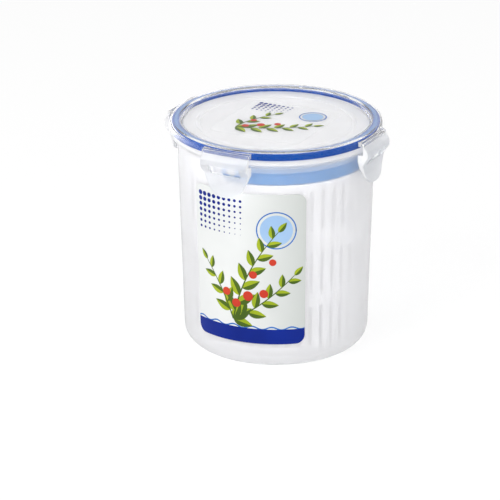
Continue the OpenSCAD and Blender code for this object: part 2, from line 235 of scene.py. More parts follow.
seal_rubber, surface = moulded(
    "deep_blue_seal", srgb(0, 72, 158), srgb(0, 64, 148), (0.45, 0.55), grain_mm=0.4)
surface.inputs["Specular IOR Level"].default_value = 0.05
# Painted highlight: a paler blue along the seal's crown, where the lid's domed rim shows a highlight.
painted_highlight_crown(seal_rubber, surface, srgb(95, 132, 176))
print("milky finishes:", tray_plastic.name, handle_plastic.name, seal_rubber.name)

# %% [markdown]
# ## Turned pieces
#
# The tub, lid, seal, tray and handle are all bodies of revolution, so one rule makes them: take a profile
# of radius and height and carry it round the axis. Spin in bmesh could do it once, but a Geometry Nodes
# tree keeps the rule readable and reusable. The tree lays a grid, and for each point asks the profile for
# its radius and height and the column for its angle.

# %% Profiles with rounded corners
def corner_points(before, here, after, radius, step):
    if radius <= 0:
        return [here]
    back = (Vector(before) - Vector(here)).normalized()
    ahead = (Vector(after) - Vector(here)).normalized()
    half = back.angle(ahead) / 2
    middle = Vector(here) + (back + ahead).normalized() * (radius / math.sin(half))
    first = Vector(here) + back * (radius / math.tan(half)) - middle
    last = Vector(here) + ahead * (radius / math.tan(half)) - middle
    start = math.atan2(first.y, first.x)
    sweep = math.atan2(last.y, last.x) - start
    sweep = (sweep + 3 * math.pi) % (2 * math.pi) - math.pi
    pieces = max(2, math.ceil(abs(math.degrees(sweep)) / step))
    turns = [start + sweep * i / pieces for i in range(pieces + 1)]
    return [(middle.x + radius * math.cos(a), middle.y + radius * math.sin(a)) for a in turns]


def rounded(corners, step=7.5):
    """Corners of x, y and radius, in millimetres, as the points of a rounded outline."""
    points = []
    for i, (x, y, radius) in enumerate(corners):
        before = corners[i - 1][:2]
        after = corners[(i + 1) % len(corners)][:2]
        points += corner_points(before, (x, y), after, radius, step)
    return points


# %% Helpers for Geometry Nodes
def new_tree(name, inputs):
    """An empty tree and its named inputs, which are given as a kind and a first value or None."""
    tree = bpy.data.node_groups.new(name, "GeometryNodeTree")
    for label, (kind, value) in inputs.items():
        socket = tree.interface.new_socket(label, in_out="INPUT", socket_type="NodeSocket" + kind)
        if value is not None:
            socket.default_value = value
    return tree, tree.nodes.new("NodeGroupInput").outputs


def finish_tree(tree, geometry, finish):
    """Every tree here ends the same way: real geometry, one finish."""
    real = add_node(tree, "GeometryNodeRealizeInstances", {0: geometry}).outputs[0]
    coat = add_node(tree, "GeometryNodeSetMaterial", {"Geometry": real, "Material": finish})
    tree.interface.new_socket("Geometry", in_out="OUTPUT", socket_type="NodeSocketGeometry")
    add_node(tree, "NodeGroupOutput", {0: coat.outputs[0]})
    print("tree:", tree.name)
    return tree


def point_number(tree):
    return add_node(tree, "GeometryNodeInputIndex").outputs[0]


def point_place(tree):
    return add_node(tree, "GeometryNodeInputPosition").outputs[0]


def object_shape(tree, source):
    return add_node(tree, "GeometryNodeObjectInfo", {"Object": source}).outputs["Geometry"]


def round_axis(tree, radius, angle, height):
    """The place at a radius, an angle and a height."""
    x = calculate(tree, "MULTIPLY", radius, calculate(tree, "COSINE", angle))
    y = calculate(tree, "MULTIPLY", radius, calculate(tree, "SINE", angle))
    return add_node(tree, "ShaderNodeCombineXYZ", {0: x, 1: y, 2: height}).outputs[0]


# %% The tree that turns a profile
WELD_MM = 0.001


def make_turning_tree():
    tree, given = new_tree("turned_piece", {
        "Profile": ("Object", None), "Steps": ("Int", 192), "Finish": ("Material", None),
    })
    profile = object_shape(tree, given["Profile"])
    rows = add_node(tree, "GeometryNodeAttributeDomainSize", {0: profile}).outputs["Point Count"]
    columns = calculate(tree, "ADD", given["Steps"], 1)
    counts = {"Vertices X": calculate(tree, "ADD", rows, 1), "Vertices Y": columns}
    sheet = add_node(tree, "GeometryNodeMeshGrid", counts).outputs[0]
    index = point_number(tree)
    row = calculate(tree, "FLOOR", calculate(tree, "DIVIDE", index, columns))
    column = calculate(tree, "SUBTRACT", index, calculate(tree, "MULTIPLY", row, columns))
    sample = add_node(tree, "GeometryNodeSampleIndex", data_type="FLOAT_VECTOR")
    tree.links.new(profile, sample.inputs["Geometry"])
    tree.links.new(point_place(tree), sample.inputs["Value"])
    tree.links.new(calculate(tree, "MODULO", row, rows), sample.inputs["Index"])
    corner = parts_of(tree, sample.outputs[0])
    angle = calculate(tree, "MULTIPLY", calculate(tree, "DIVIDE", column, given["Steps"]), 2 * math.pi)
    place = round_axis(tree, corner[0], angle, corner[2])
    moved = add_node(tree, "GeometryNodeSetPosition", {"Geometry": sheet, "Position": place}).outputs[0]
    weld = {"Geometry": moved, "Distance": WELD_MM * MM}
    welded = add_node(tree, "GeometryNodeMergeByDistance", weld).outputs[0]
    return finish_tree(tree, welded, given["Finish"])


TURNING = make_turning_tree()

# %% Helpers for meshes
def new_object(name, mesh):
    made = bpy.data.objects.new(name, mesh)
    scene.collection.objects.link(made)
    return made


def mesh_from(name, points, faces):
    mesh = bpy.data.meshes.new(name)
    mesh.from_pydata([Vector(p) * MM for p in points], [], faces)
    return mesh


def add_tree(piece, tree, values):
    shaped = piece.modifiers.new(tree.name, "NODES")
    shaped.node_group = tree
    for socket in tree.interface.items_tree:
        if socket.in_out == "INPUT" and socket.name in values:
            shaped[socket.identifier] = values[socket.name]


def settle(piece):
    """Turns a piece's modifiers into a plain mesh."""
    seen = piece.evaluated_get(bpy.context.evaluated_depsgraph_get())
    mesh = bpy.data.meshes.new_from_object(seen)
    piece.modifiers.clear()
    piece.data = mesh
    mesh.name = piece.name


# %% Helpers for whole pieces
MERGE_MM = 0.0005


def face_outwards(piece):
    work = bmesh.new()
    work.from_mesh(piece.data)
    bmesh.ops.remove_doubles(work, verts=work.verts, dist=MERGE_MM * MM)
    bmesh.ops.dissolve_degenerate(work, edges=work.edges, dist=MERGE_MM * MM)
    bmesh.ops.recalc_face_normals(work, faces=work.faces)
    work.to_mesh(piece.data)
    work.free()


def shade(piece, sharp=32):
    piece.data.shade_smooth()
    piece.data.set_sharp_from_angle(angle=math.radians(sharp))


def set_finishes(piece, *finishes):
    piece.data.materials.clear()
    for finish in finishes:
        piece.data.materials.append(finish)


def combine(piece, tool, operation):
    """One boolean step with a closed tool, which is used up."""
    step = piece.modifiers.new("combine", "BOOLEAN")
    step.operation = operation
    step.solver = "MANIFOLD"
    step.object = tool
    settle(piece)
    bpy.data.objects.remove(tool)


def turned(name, corners, finish, steps=192):
    outline = rounded(corners)
    profile = new_object(name + "_profile", mesh_from(name, [(r, 0, z) for r, z in outline], []))
    piece = new_object(name, bpy.data.meshes.new(name))
    add_tree(piece, TURNING, {"Profile": profile, "Steps": steps, "Finish": finish})
    settle(piece)
    bpy.data.objects.remove(profile)
    face_outwards(piece)
    return piece


def count(piece):
    return f"{piece.name}: {len(piece.data.vertices)} points, {len(piece.data.polygons)} faces"


# %% [markdown]
# ## The tub
#
# The tub is a tapered shell on a foot ring. Near the mouth it steps out to a thicker band whose lip
# closes on the seal, and four lugs stand out from the wall where the latches snap. The lugs are short
# bars, joined on by a boolean union so that the tub stays one closed piece. The boolean merges faces that
# lie in one plane, so a crease too small to see keeps the border between two finishes.

# %% Sizes shared by the tub, lid and tray
TOP_Z = 132.0
LID_R = 59.5
CHANNEL_R = 58.0
PLUG_R = 53.8
ROOF_Z = 130.6
RIM_R = 56.75
RIM_Z = 121.4
RIM_TOP_Z = 127.2
MOUTH_R = 55.05
NECK_R = 55.35
FLOOR_Z = 2.8
WALL_T = 1.6
DRAFT = math.radians(1.6)
CREASE = 0.02
HINGE_X = 60.5
HINGE_Z = 129.4
SIDES = {"front": -90, "right": 0, "back": 90, "left": 180}


def outer_r(z):
    return NECK_R - (RIM_Z - z) * math.tan(DRAFT)


def inner_r(z):
    return outer_r(z) - WALL_T / math.cos(DRAFT)


print("tub wall, mm: radius", round(outer_r(0), 2), "at the table,", NECK_R, "below the band")

# %% Helper for bars along a side of the lid
def bar(name, corners, width, turn):
    """A side profile, drawn out and up from a hinge, pushed along that hinge."""
    outline = rounded(corners, step=15)
    spin = math.radians(turn)
    points = []
    for side in (-width / 2, width / 2):
        for out, up in outline:
            x = HINGE_X + out
            turned_x = x * math.cos(spin) - side * math.sin(spin)
            turned_y = x * math.sin(spin) + side * math.cos(spin)
            points.append((turned_x, turned_y, HINGE_Z + up))
    n = len(outline)
    faces = [tuple(range(n)), tuple(range(2 * n - 1, n - 1, -1))]
    faces += [(i, i + n, (i + 1) % n + n, (i + 1) % n) for i in range(n)]
    made = new_object(name, mesh_from(name, points, faces))
    face_outwards(made)
    return made


# %% The tub's shell
FOOT_R = 40.98
FOOT_W = 3.0
FOOT_H = 0.8
FOOT_EASE = 0.4
BOTTOM_ROUND = 9.0
NECK_Z = 109.5
HAZE_Z = 118.5
BAND_Z = 122.9
BAND_FOOT_Z = 121.96
STEP_LOW_Z = 120.56
STEP_HIGH_Z = 122.8
LIP = 0.84
foot_in = FOOT_R - FOOT_W

tub = turned("tub", [
    (0, FOOT_H, 0), (foot_in, FOOT_H, 0), (foot_in + FOOT_EASE, 0, 0.2), (FOOT_R - FOOT_EASE, 0, 0.2),
    (FOOT_R, FOOT_H, 0), (outer_r(FOOT_H), FOOT_H, BOTTOM_ROUND), (outer_r(NECK_Z) - CREASE, NECK_Z, 0),
    (outer_r(HAZE_Z) - CREASE, HAZE_Z, 0), (outer_r(RIM_Z), RIM_Z, 0.6), (RIM_R, BAND_FOOT_Z, 0.3),
    (RIM_R - CREASE, BAND_Z, 0), (RIM_R, RIM_TOP_Z, LIP), (MOUTH_R, RIM_TOP_Z, LIP),
    (MOUTH_R, STEP_HIGH_Z, 1), (inner_r(STEP_LOW_Z), STEP_LOW_Z, 1),
    (inner_r(NECK_Z) + CREASE, NECK_Z, 0), (inner_r(FLOOR_Z), FLOOR_Z, BOTTOM_ROUND - WALL_T),
    (0, FLOOR_Z, 0),
], tub_plastic)
print(count(tub))

# %% Its lugs and finishes
SLOT_TOP = -7.35
SLOT_FOOT = -12.65
LUG_W = 17.0
LUG_TIP = -1.75
LUG_SINK = 0.65
lug_root = outer_r(HINGE_Z + SLOT_FOOT) - WALL_T * LUG_SINK - HINGE_X
for side, turn in SIDES.items():
    lug = bar("lug_" + side, [
        (lug_root, SLOT_FOOT - 0.2, 0), (LUG_TIP, SLOT_FOOT + 0.4, 0.5),
        (LUG_TIP, SLOT_TOP - 1.8, 0.7), (lug_root, SLOT_TOP - 0.9, 0),
    ], LUG_W, turn)
    combine(tub, lug, "UNION")

set_finishes(tub, tub_plastic, neck_plastic, haze_plastic, band_plastic)
for face in tub.data.polygons:
    height = face.center.z / MM
    on_lug = height < RIM_Z - 1 and face.center.xy.length / MM > outer_r(height) + 0.1
    if on_lug or height > BAND_Z:
        face.material_index = 3
    else:
        face.material_index = (height > NECK_Z) + (height > HAZE_Z)
shade(tub)
print(count(tub))

# %% [markdown]
# ## The tray
#
# The tray is a basket with three tiers of upright slots, a slotted floor, four feet, and a collar that is
# drawn in to make room for the handle. Its slots repeat, so a second tree cuts one ring of them at a
# time: it puts a box on every point of a circle and takes the boxes out of the wall.

# %% The tree that cuts a ring of slots
def make_slot_tree():
    tree, given = new_tree("ring_of_slots", {
        "Wall": ("Geometry", None), "Slots": ("Int", 48), "Radius": ("Float", 0.05),
        "Height": ("Float", 0.0), "Slot Size": ("Vector", None), "Finish": ("Material", None),
    })
    ring_size = {"Vertices": given["Slots"], "Radius": given["Radius"]}
    circle = add_node(tree, "GeometryNodeMeshCircle", ring_size).outputs[0]
    box = add_node(tree, "GeometryNodeMeshCube", {"Size": given["Slot Size"]}).outputs[0]
    step = calculate(tree, "DIVIDE", 2 * math.pi, given["Slots"])
    heading = calculate(tree, "MULTIPLY", point_number(tree), step)
    spin = add_node(tree, "ShaderNodeCombineXYZ", {2: heading}).outputs[0]
    row = {"Points": circle, "Instance": box, "Rotation": spin}
    scatter = add_node(tree, "GeometryNodeInstanceOnPoints", row).outputs[0]
    lift = add_node(tree, "ShaderNodeCombineXYZ", {2: given["Height"]}).outputs[0]
    half_step = calculate(tree, "MULTIPLY", step, 0.5)
    half_turn = add_node(tree, "ShaderNodeCombineXYZ", {2: half_step}).outputs[0]
    shift = {"Geometry": scatter, "Translation": lift, "Rotation": half_turn}
    placed = add_node(tree, "GeometryNodeTransform", shift).outputs[0]
    boxes = add_node(tree, "GeometryNodeRealizeInstances", {0: placed}).outputs[0]
    cut = add_node(tree, "GeometryNodeMeshBoolean", operation="DIFFERENCE", solver="MANIFOLD")
    tree.links.new(given["Wall"], cut.inputs["Mesh 1"])
    tree.links.new(boxes, cut.inputs["Mesh 2"])
    return finish_tree(tree, cut.outputs[0], given["Finish"])


RING_OF_SLOTS = make_slot_tree()

# %% The basket
TRAY_GAP = 0.6
TRAY_T = 1.4
TRAY_FLOOR_Z = 7.9
TRAY_FLOOR_T = 1.6
TRAY_ROUND = 6.0
SHOULDER_Z = 110.7
COLLAR_R = 50.9
COLLAR_TOP_Z = 122.7


def tray_r(z):
    return inner_r(z) - TRAY_GAP


collar_in = COLLAR_R - TRAY_T
wall_top = SHOULDER_Z - TRAY_T
slope_foot = wall_top - (tray_r(wall_top) - COLLAR_R)
floor_top = TRAY_FLOOR_Z + TRAY_FLOOR_T
floor_mid = TRAY_FLOOR_Z + TRAY_FLOOR_T / 2
basket = turned("basket", [
    (0, TRAY_FLOOR_Z, 0), (tray_r(TRAY_FLOOR_Z), TRAY_FLOOR_Z, TRAY_ROUND),
    (tray_r(SHOULDER_Z), SHOULDER_Z, 0.5), (COLLAR_R, SHOULDER_Z, 0.4), (COLLAR_R, COLLAR_TOP_Z, 0.6),
    (collar_in, COLLAR_TOP_Z, 0.6), (collar_in, wall_top, 1), (tray_r(wall_top) - TRAY_T, slope_foot, 1),
    (tray_r(TRAY_FLOOR_Z) - TRAY_T, floor_top, TRAY_ROUND - TRAY_T), (0, floor_top, 0),
], tray_plastic)
print(count(basket))

# %% Its slots
SLOT_W = 2.2
SLOT_H = 24.0
SLOT_DEPTH = 5.4
SLOTS_ROUND = 48
TIERS = (13.1, 45.1, 82.1)
FLOOR_SLOT_DEPTH = 3.6
FLOOR_SLOTS = ((12, 10.4, 19.58), (24, 23.58, 32.75))


def cut_slots(slots, radius, height, deep, tall):
    add_tree(basket, RING_OF_SLOTS, {
        "Slots": slots, "Radius": radius * MM, "Height": height * MM,
        "Slot Size": (deep * MM, SLOT_W * MM, tall * MM), "Finish": tray_plastic,
    })


for slot_z in TIERS:
    cut_slots(SLOTS_ROUND, tray_r(slot_z) - TRAY_T / 2, slot_z + SLOT_H / 2, SLOT_DEPTH, SLOT_H)
for slots, inside, outside in FLOOR_SLOTS:
    cut_slots(slots, (inside + outside) / 2, floor_mid, outside - inside, FLOOR_SLOT_DEPTH)
settle(basket)
print(count(basket))

# %% Its feet and pivot pins
def peg(name, radius, start, end, sides=48):
    """A round peg between two points, its far end eased by a small bevel."""
    axis = Vector(end) - Vector(start)
    turn = axis.to_track_quat("Z", "Y").to_matrix().to_4x4()
    ease = 0.3
    rings = [(radius, 0), (radius, axis.length - ease), (radius - ease * 0.3, axis.length - ease * 0.3),
             (radius - ease, axis.length)]
    points = []
    for ring_r, ring_z in rings:
        for i in range(sides):
            angle = 2 * math.pi * i / sides
            point = Vector((ring_r * math.cos(angle), ring_r * math.sin(angle), ring_z))
            points.append(turn @ point + Vector(start))
    faces = [tuple(range(sides)), tuple(range(len(points) - sides, len(points)))]
    for k in range(len(rings) - 1):
        for i in range(sides):
            j = (i + 1) % sides
            faces.append((k * sides + i, k * sides + j, (k + 1) * sides + j, (k + 1) * sides + i))
    made = new_object(name, mesh_from(name, points, faces))
    face_outwards(made)
    return made


STUD_AT = 36.74
STUD_R = 3.0
STUD_GAP = 0.1
PIN_R = 2.6
PIVOT_Z = 117.0
HANDLE_R = 53.0
for i in range(4):
    angle = math.radians(45 + 90 * i)
    x = STUD_AT * math.cos(angle)
    y = STUD_AT * math.sin(angle)
    combine(basket, peg(f"foot_{i}", STUD_R, (x, y, floor_mid), (x, y, FLOOR_Z + STUD_GAP)), "UNION")
for side in (-1, 1):
    pin_start = (0, side * (COLLAR_R - TRAY_T / 2), PIVOT_Z)
    combine(basket, peg(f"pin_{side}", PIN_R, pin_start, (0, side * HANDLE_R, PIVOT_Z)), "UNION")
shade(basket)
print(count(basket))

# %% [markdown]
# ## The handle
#
# The swing handle is half a hoop that lies folded round the collar, with a round eye at each end. It is
# cut out of a full turned band: keep what lies on one side of the pins or inside the eyes, then bore the
# eyes.

# %% Cut the handle out of a band
def block(name, low, high):
    corners = [(x, y, z) for x in (low[0], high[0]) for y in (low[1], high[1]) for z in (low[2], high[2])]
    faces = [(0, 1, 3, 2), (4, 6, 7, 5), (0, 4, 5, 1), (2, 3, 7, 6), (0, 2, 6, 4), (1, 5, 7, 3)]
    return new_object(name, mesh_from(name, corners, faces))


HANDLE_Z = 111.0
HANDLE_H = 12.0
HANDLE_T = 1.5
HANDLE_EASE = 0.5
BORE_R = PIN_R + 0.08
PAST = 60
handle_top = HANDLE_Z + HANDLE_H
handle = turned("swing_handle", [
    (HANDLE_R - HANDLE_T, HANDLE_Z, HANDLE_EASE), (HANDLE_R, HANDLE_Z, HANDLE_EASE),
    (HANDLE_R, handle_top, HANDLE_EASE), (HANDLE_R - HANDLE_T, handle_top, HANDLE_EASE),
], handle_plastic, steps=256)
keep = block("keep", (0, -PAST, HANDLE_Z - 1), (PAST, PAST, handle_top + 1))
axle = ((0, -PAST, PIVOT_Z), (0, PAST, PIVOT_Z))
combine(keep, peg("eyes", HANDLE_H / 2, *axle, sides=96), "UNION")
combine(handle, keep, "INTERSECT")
combine(handle, peg("bore", BORE_R, *axle, sides=64), "DIFFERENCE")
shade(handle)
print(count(handle))

# %% [markdown]
# ## The lid and its seal
#
# The lid is a recessed panel inside a hollow rim. The rim holds the seal, and at each side a straight
# ledge on the round skirt carries a hinge. The ledges are bars whose outer face is hollowed for the
# latch's bead. The panel, the skirt's foot and the ledges' ends are frosted, the rim's inner rounding is
# softer than glass, and the rest of the rim is clear.

# %% The lid's shell
PANEL_Z = 129.1
PANEL_T = 1.5
PLUG_IN = 52.4
PLUG_Z = 125.5
SKIRT_Z = 124.2
SKIRT_CLEAR_Z = 127.3
RIM_ROUND_IN = 1.9
RIM_ROUND_OUT = 2.4
STACK_R = 43.6
STACK_H = 0.6
STACK_CREST = 0.8
STACK_FOOT = 1.4
stack_top = PANEL_Z + STACK_H
panel_under = PANEL_Z - PANEL_T
lid = turned("lid_cover", [
    (0, PANEL_Z, 0), (STACK_R - STACK_FOOT, PANEL_Z, 0), (STACK_R - STACK_CREST, stack_top, 0.3),
    (STACK_R + STACK_CREST, stack_top, 0.3), (STACK_R + STACK_FOOT, PANEL_Z, 0), (PLUG_IN, PANEL_Z, 1),
    (PLUG_IN, TOP_Z, RIM_ROUND_IN), (LID_R, TOP_Z, RIM_ROUND_OUT), (LID_R - CREASE, SKIRT_CLEAR_Z, 0),
    (LID_R, SKIRT_Z, 0.5), (CHANNEL_R, SKIRT_Z, 0.4), (CHANNEL_R, ROOF_Z, 0.6), (PLUG_R, ROOF_Z, 0.4),
    (PLUG_R, PLUG_Z, 0.6), (PLUG_IN, PLUG_Z, 0.5), (PLUG_IN, panel_under, 0.6), (0, panel_under, 0),
], rim_plastic)
print(count(lid))

# %% Its ledges
LATCH_W = 28.6
BEAD_R = 0.9
GROOVE_R = BEAD_R + 0.08
GROOVE_STEPS = 12
LAND_FACE = -0.495
LAND_FOOT = -1.2
LAND_TOP = 1.2
LEDGE_SINK = 1.0
SKIRT_IN = CHANNEL_R + 0.3
TRIM_LOW = 120
TRIM_HIGH = 135
ledge_in = LID_R * math.cos(math.asin(LATCH_W / 2 / LID_R)) - LEDGE_SINK - HINGE_X
groove_from = math.acos(-LAND_FACE / GROOVE_R)
groove = []
for i in range(GROOVE_STEPS + 1):
    angle = math.pi + groove_from - 2 * groove_from * i / GROOVE_STEPS
    groove.append((GROOVE_R * math.cos(angle), GROOVE_R * math.sin(angle), 0))
for side, turn in SIDES.items():
    ledge = bar("ledge_" + side, [
        (ledge_in, LAND_FOOT, 0), (LAND_FACE, LAND_FOOT, 0.15), *groove,
        (LAND_FACE, LAND_TOP, 0.35), (ledge_in, LAND_TOP + 0.2, 0),
    ], LATCH_W, turn)
    trim = turned("trim", [
        (0, TRIM_LOW, 0), (SKIRT_IN, TRIM_LOW, 0), (SKIRT_IN, TRIM_HIGH, 0), (0, TRIM_HIGH, 0),
    ], rim_plastic)
    combine(ledge, trim, "DIFFERENCE")
    combine(lid, ledge, "UNION")
print(count(lid))

# %% Its finishes
set_finishes(lid, rim_plastic, panel_plastic, bead_plastic)
for face in lid.data.polygons:
    out = face.center.xy.length / MM
    up = face.center.z / MM
    aside = min(abs(face.center.x), abs(face.center.y)) / MM
    on_panel = out < PLUG_IN - 0.3 and up > PANEL_Z - 2
    ledge_end = abs(aside - LATCH_W / 2) < 0.01 and abs(face.normal.z) < 0.1
    skirt_foot = out > SKIRT_IN and up < SKIRT_CLEAR_Z
    if on_panel or ledge_end or skirt_foot:
        face.material_index = 1
    elif out < PLUG_IN + RIM_ROUND_IN and up > TOP_Z - RIM_ROUND_IN:
        face.material_index = 2
shade(lid)
print("lid finishes:", len(lid.data.materials))

# %% The seal
SEAL_FIT = 0.1
SEAL_FOOT_Z = 126.1
SEAL_GROOVE_Z = 127.5
SEAL_GROOVE_FIT = 0.3
seal_in = PLUG_R + SEAL_FIT
seal_out = CHANNEL_R - SEAL_FIT
seal_top = ROOF_Z - SEAL_FIT
groove_in = MOUTH_R - SEAL_GROOVE_FIT
groove_out = RIM_R + SEAL_GROOVE_FIT
seal = turned("seal_ring", [
    (seal_in, SEAL_FOOT_Z, 0.3), (groove_in, SEAL_FOOT_Z, 0.2), (groove_in, SEAL_GROOVE_Z, 0.5),
    (groove_out, SEAL_GROOVE_Z, 0.5), (groove_out, SEAL_FOOT_Z, 0.2), (seal_out, SEAL_FOOT_Z, 0.3),
    (seal_out, seal_top, 0.7), (seal_in, seal_top, 0.5),
], seal_rubber)
shade(seal)
print(count(seal))

# %% [markdown]
# ## The latches
#
# A latch is a small shell: a bead to turn on, a shoulder, a slot that snaps over the tub's lug and a
# flared tongue for the thumb. The CAD solid already has that shape, so a copy of its mesh is the best
# start. Its long triangles would shade in streaks, so the copy is remeshed into small even faces, and a
# few rounds of smoothing take the edge off every corner, as moulded plastic has it.

# %% Soften the latches' edges
LATCH_GRAIN = 0.24
LATCH_ROUNDS = 4
FLANGE_FROM = 9.4
FLANGE_TILT = 0.72
BEAD_REACH = 1.3


def softened_copy(node, name):
    piece = new_object(name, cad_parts[node].data.copy())
    work = bmesh.new()
    work.from_mesh(piece.data)
    bmesh.ops.remove_doubles(work, verts=work.verts, dist=0.002 * MM)
    work.to_mesh(piece.data)
    work.free()
    even = piece.modifiers.new("even_faces", "REMESH")
    even.mode = "VOXEL"
    even.voxel_size = LATCH_GRAIN * MM
    soft = piece.modifiers.new("soft_edges", "SMOOTH")
    soft.factor = 0.5
    soft.iterations = LATCH_ROUNDS
    settle(piece)
    shade(piece, sharp=60)
    return piece


def finish_latch(piece, turn):
    """The bead and the skin round it are thin and clear, the side flanges milky, the rest frosted."""
    set_finishes(piece, latch_plastic, bead_plastic, flange_plastic)
    outwards = Vector((math.cos(math.radians(turn)), math.sin(math.radians(turn)), 0))
    along = Vector((-outwards.y, outwards.x, 0))
    for face in piece.data.polygons:
        out = face.center.dot(outwards) / MM - HINGE_X
        up = face.center.z / MM - HINGE_Z
        aside = abs(face.center.dot(along)) / MM
        if aside > FLANGE_FROM and abs(face.normal.dot(along)) > FLANGE_TILT:
            face.material_index = 2
        elif math.hypot(out, up) < BEAD_REACH:
            face.material_index = 1


latches = {}
for side, turn in SIDES.items():
    latches[side] = softened_copy("latch_" + side, f"latch_{side}_shell")
    finish_latch(latches[side], turn)
    print(count(latches[side]))

# %% [markdown]
# ## Labels
#
# Two printed films dress the object: one curved round the front of the tub, one flat on the lid's panel.
# The print is a plain kitchen-garden design: leafy sprigs, berries, a field of dots and a blue band. Each
# colour of ink is its own thin layer of real geometry, so that nothing depends on a picture. The tub's
# film is white, with painted shade that darkens it towards its right side, away from the key light, and
# the lid's film is clear.

# %% Inks and films
PAINTED_SHADE_FROM = 4
PAINTED_SHADE_TO = 39


def ink(name, colour, deeper):
    finish, surface = moulded(name, colour, deeper, (0.3, 0.4), grain_mm=0.5, relief=0.05)
    surface.inputs["Specular IOR Level"].default_value = 0.15
    return finish


def painted_shade_side(finish, grey):
    """Keep a film's colour on one side along x, and paint shade on it that deepens towards the other."""
    tree = finish.node_tree
    along = parts_of(tree, place_on_piece(tree))["X"]
    share = map_range(tree, along, PAINTED_SHADE_FROM * MM, PAINTED_SHADE_TO * MM, 0.0, 1.0)
    blend_body(tree, tree.nodes["Principled BSDF"], share, grey)


navy_ink = ink("navy_ink", srgb(4, 40, 146), srgb(2, 32, 128))
mid_ink = ink("mid_blue_ink", srgb(60, 122, 200), srgb(48, 108, 188))
pale_ink = ink("pale_blue_ink", srgb(168, 200, 234), srgb(156, 190, 228))
bright_leaf_ink = ink("bright_leaf_ink", srgb(170, 186, 44), srgb(150, 170, 34))
deep_leaf_ink = ink("deep_leaf_ink", srgb(86, 112, 34), srgb(70, 96, 28))
berry_ink = ink("berry_ink", srgb(214, 72, 48), srgb(196, 56, 40))
paper_film = ink("white_label_film", srgb(237, 239, 238), srgb(232, 234, 233))
# Painted shade: the film darkens towards its right side, away from the key light.
painted_shade_side(paper_film, srgb(203, 207, 204))
clear_film, surface = moulded("clear_label_film", srgb(250, 251, 252), srgb(246, 248, 250), (0.12, 0.18))
surface.inputs["Alpha"].default_value = 0.07
lets_lamps_through(clear_film, surface, srgb(254, 254, 254))
print("label finishes:", navy_ink.name, bright_leaf_ink.name, berry_ink.name, paper_film.name)

# %% [markdown]
# Motifs are drawn flat as strips between two edges. A strip is a grid of quads, which stays even when it
# is bent round the tub later, where one large face would cut through the wall.

# %% Strips between two edges
def strip(left, right, columns):
    """A grid of quads whose rows run from the left edge to the right one."""
    points = []
    for (x0, y0), (x1, y1) in zip(left, right):
        for i in range(columns + 1):
            share = i / columns
            points.append((x0 + (x1 - x0) * share, y0 + (y1 - y0) * share, 0))
    wide = columns + 1
    faces = []
    for row in range(len(left) - 1):
        for i in range(columns):
            a = row * wide + i
            faces.append((a, a + 1, a + wide + 1, a + wide))
    return points, faces


def drawing(name, strips):
    """Several strips as one flat object."""
    points, faces = [], []
    for strip_points, strip_faces in strips:
        shift = len(points)
        points += strip_points
        faces += [tuple(i + shift for i in face) for face in strip_faces]
    return new_object(name, mesh_from(name, points, faces))


# %% Discs, rings and sheets
RING_STEPS = 48
CORNER_STEPS = 8
SIDE_STEPS = 24


def disc(x, y, radius, rows=12):
    angles = [-math.pi / 2 + math.pi * i / rows for i in range(rows + 1)]
    left = [(x - radius * math.cos(a), y + radius * math.sin(a)) for a in angles]
    right = [(x + radius * math.cos(a), y + radius * math.sin(a)) for a in angles]
    return strip(left, right, max(2, rows // 2))


def ring(x, y, inside, outside):
    angles = [2 * math.pi * i / RING_STEPS for i in range(RING_STEPS + 1)]
    left = [(x + inside * math.cos(a), y + inside * math.sin(a)) for a in angles]
    right = [(x + outside * math.cos(a), y + outside * math.sin(a)) for a in angles]
    return strip(left, right, 1)


def rounded_sheet(half_w, low, high, corner, columns, part=(0.0, 1.0)):
    """A sheet with rounded corners, or the part of it between two shares of its height."""
    levels = []
    for i in range(CORNER_STEPS + 1):
        drop = corner * (1 - math.cos(math.pi / 2 * i / CORNER_STEPS))
        levels += [low + drop, high - drop]
    straight = high - low - 2 * corner
    levels += [low + corner + straight * i / SIDE_STEPS for i in range(1, SIDE_STEPS)]
    bottom = low + (high - low) * part[0]
    top = low + (high - low) * part[1]
    levels = sorted({round(y, 5) for y in levels + [bottom, top] if bottom <= y <= top})
    left, right = [], []
    for y in levels:
        inset = max(0.0, corner - min(y - low, high - y))
        half = half_w - corner + math.sqrt(max(0.0, corner ** 2 - inset ** 2))
        left.append((-half, y))
        right.append((half, y))
    return strip(left, right, columns)


# %% [markdown]
# A sprig repeats one leaf along a stem, left and right in turn and smaller towards the tip. That is a
# rule, so a tree makes it: it resamples the stem, turns a leaf to the stem's direction plus a lean that
# changes side, and scales it down along the way. Each leaf has a bright and a deep half, so the tree runs
# once for each.

